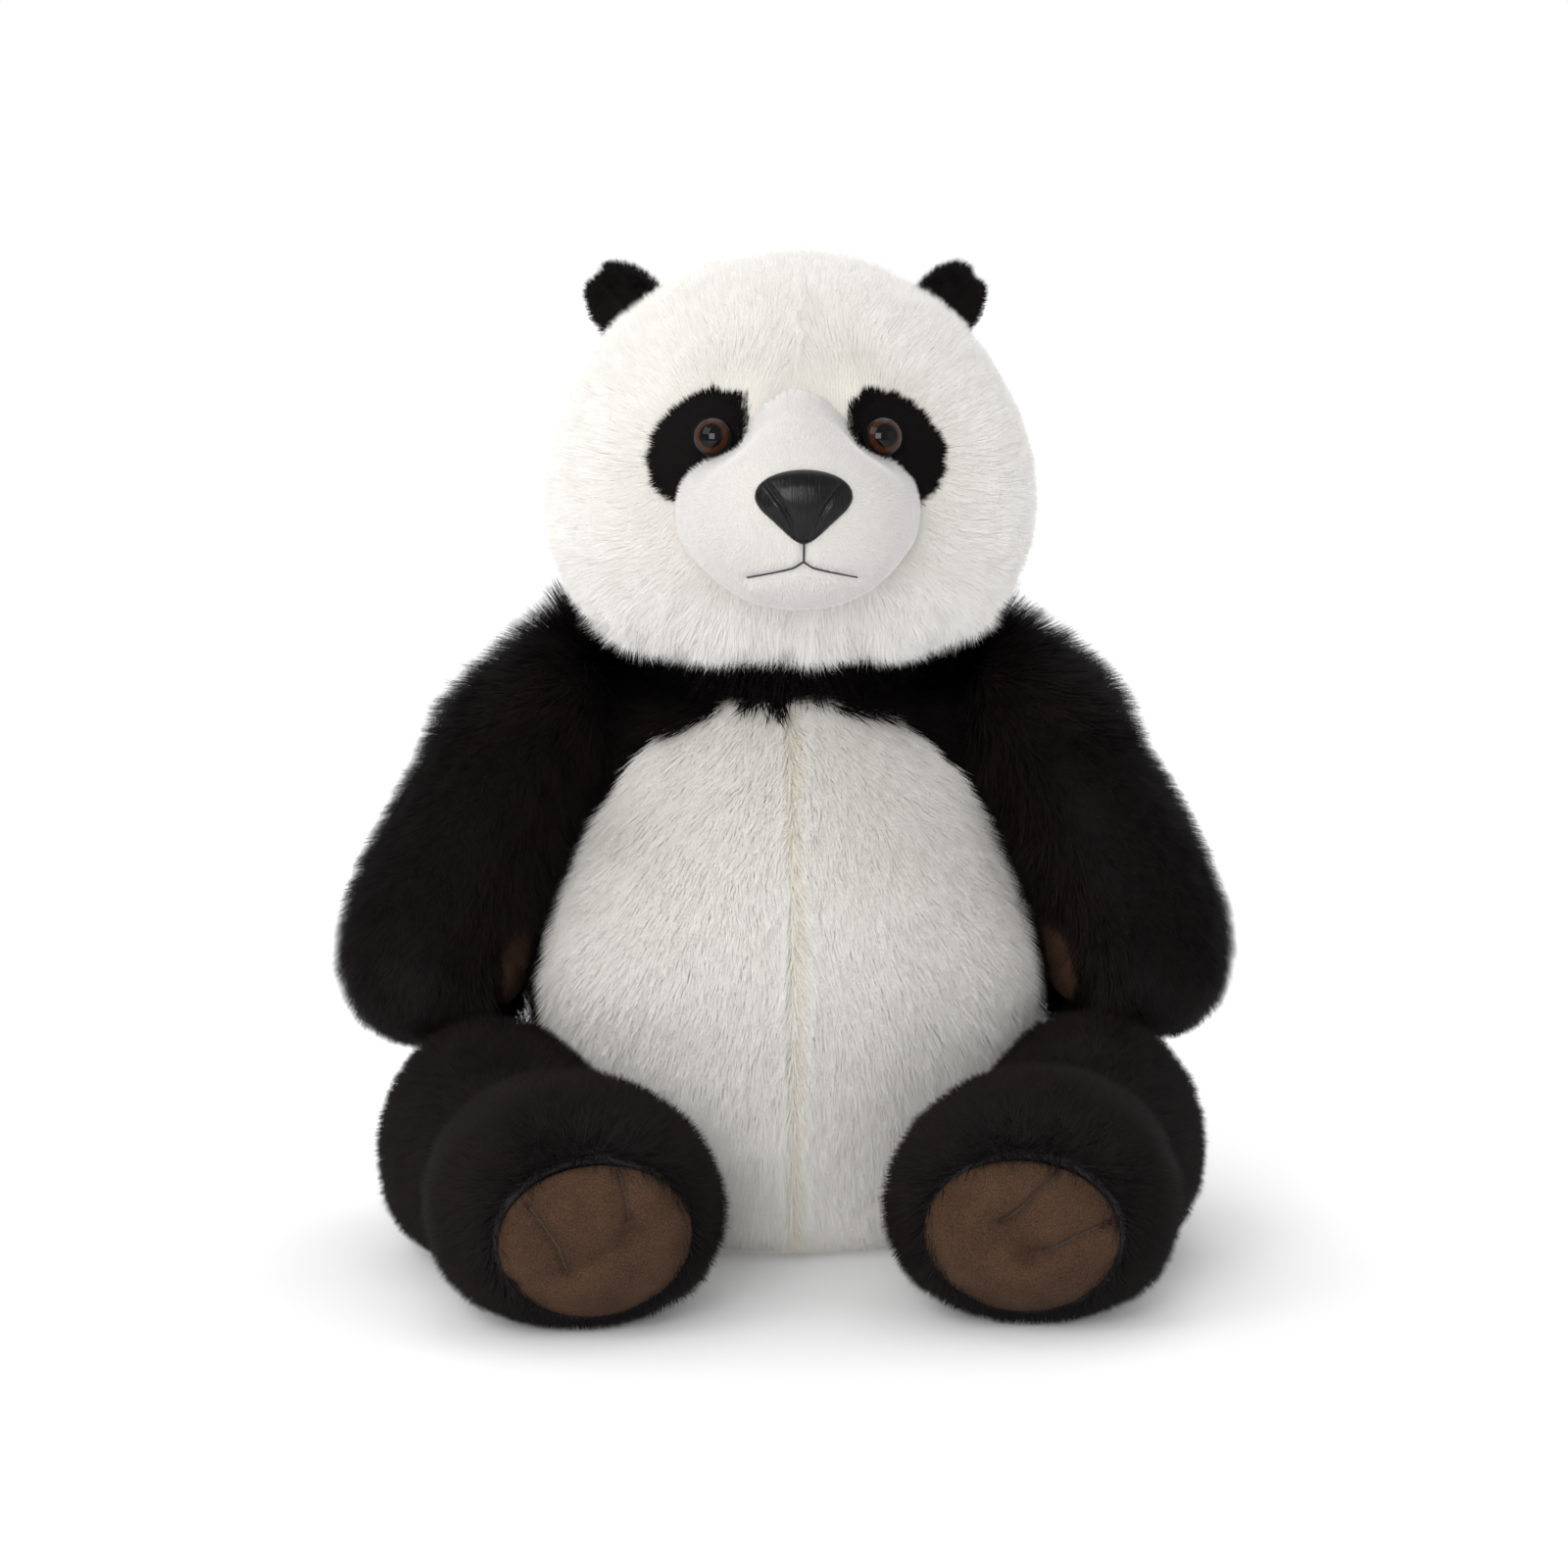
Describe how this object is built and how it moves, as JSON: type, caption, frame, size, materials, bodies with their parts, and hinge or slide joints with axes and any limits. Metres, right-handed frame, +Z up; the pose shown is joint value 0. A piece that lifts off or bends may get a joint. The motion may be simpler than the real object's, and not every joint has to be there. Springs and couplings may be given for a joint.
{
  "type": "plush panda",
  "caption": "Sitting plush panda with a round white head and belly, black fur limbs, a short-pile muzzle, plastic eyes and brown suede soles.",
  "frame": {"origin": "middle of the flat seat, on the surface that the panda sits on", "axes": "+Z up through the head; the panda faces -Y, and its own left is +X"},
  "size_m": [0.373, 0.3392, 0.4108],
  "materials": {
    "white_pile": "long white pile fur",
    "white_velour": "short white pile",
    "black_pile": "short black pile fur",
    "brown_suede": "matt brown microsuede",
    "filling": "loose polyester fibre",
    "pellet_cloth": "woven bag with pellets",
    "nose_satin": "satin black leatherette",
    "thread_black": "black thread",
    "thread_brown": "dark brown thread",
    "eye_dome": "glossy brown dome",
    "eye_shank": "black moulded plastic",
    "eye_washer": "ivory plastic"
  },
  "bodies": {
    "torso": {"seat_panel": "white_pile", "belly_left": "white_pile", "belly_right": "white_pile", "chest_yoke": "black_pile", "back_yoke": "black_pile", "side_left": "black_pile", "side_right": "black_pile", "back_left": "white_pile", "back_right": "white_pile", "torso_filling": "filling", "pellet_bag": "pellet_cloth"},
    "neck": {"neck_cushion": "black_pile"},
    "head": {"head_left": "white_pile", "head_right": "white_pile", "head_back_left": "white_pile", "head_back_right": "white_pile", "head_underside": "white_pile", "head_filling": "filling", "muzzle_left": "white_velour", "muzzle_right": "white_velour", "chin": "white_velour", "muzzle_filling": "filling", "nose": "nose_satin", "mouth_thread": "thread_black", "eye_patch_left": "black_pile", "eye_patch_right": "black_pile", "eye_dome_left": "eye_dome", "eye_dome_right": "eye_dome", "eye_shank_left": "eye_shank", "eye_shank_right": "eye_shank", "eye_washer_left": "eye_washer", "eye_washer_right": "eye_washer"},
    "tail": {"tail_cover": "white_pile", "tail_filling": "filling"},
    "ear_left": {"ear_front_left": "black_pile", "ear_back_left": "black_pile"},
    "arm_left": {"arm_outer_left": "black_pile", "arm_inner_left": "black_pile", "arm_filling_left": "filling", "paw_pad_left": "brown_suede"},
    "leg_left": {"leg_outer_left": "black_pile", "leg_inner_left": "black_pile", "leg_filling_left": "filling", "sole_left": "brown_suede", "toe_threads_left": "thread_brown"},
    "ear_right": {"ear_front_right": "black_pile", "ear_back_right": "black_pile"},
    "arm_right": {"arm_outer_right": "black_pile", "arm_inner_right": "black_pile", "arm_filling_right": "filling", "paw_pad_right": "brown_suede"},
    "leg_right": {"leg_outer_right": "black_pile", "leg_inner_right": "black_pile", "leg_filling_right": "filling", "sole_right": "brown_suede", "toe_threads_right": "thread_brown"}
  },
  "joints": [
    {"name": "neck_turn", "type": "hinge", "parent": "torso", "child": "neck", "pos_m": [0, 0, 0.248], "axis": [0, 0, 1], "range_deg": [-16, 16], "stiffness_Nm_per_rad": 3},
    {"name": "head_nod", "type": "hinge", "parent": "neck", "child": "head", "pos_m": [0, -0.008, 0.255], "axis": [1, 0, 0], "range_deg": [-9, 6.5], "stiffness_Nm_per_rad": 8},
    {"name": "ear_left_fold", "type": "hinge", "parent": "head", "child": "ear_left", "pos_m": [0.06, 0.0013, 0.386], "axis": [0.769, 0, -0.6392], "range_deg": [-14, 14], "stiffness_Nm_per_rad": 0.05},
    {"name": "shoulder_left", "type": "hinge", "parent": "torso", "child": "arm_left", "pos_m": [0.084, 0.006, 0.229], "axis": [-1, 0, 0], "range_deg": [0, 60], "stiffness_Nm_per_rad": 0.6},
    {"name": "hip_left", "type": "hinge", "parent": "torso", "child": "leg_left", "pos_m": [0.114, -0.02, 0.043], "axis": [0, 0, 1], "range_deg": [0, 14], "stiffness_Nm_per_rad": 1.5},
    {"name": "ear_right_fold", "type": "hinge", "parent": "head", "child": "ear_right", "pos_m": [-0.06, 0.0013, 0.386], "axis": [0.769, 0, 0.6392], "range_deg": [-14, 14], "stiffness_Nm_per_rad": 0.05},
    {"name": "shoulder_right", "type": "hinge", "parent": "torso", "child": "arm_right", "pos_m": [-0.084, 0.006, 0.229], "axis": [-1, 0, 0], "range_deg": [0, 60], "stiffness_Nm_per_rad": 0.6},
    {"name": "hip_right", "type": "hinge", "parent": "torso", "child": "leg_right", "pos_m": [-0.114, -0.02, 0.043], "axis": [0, 0, -1], "range_deg": [0, 14], "stiffness_Nm_per_rad": 1.5},
    {"name": "tail_wag", "type": "hinge", "parent": "torso", "child": "tail", "pos_m": [0, 0.0895, 0.022], "axis": [0, 0, 1], "range_deg": [-15, 15], "stiffness_Nm_per_rad": 0.08}
  ]
}
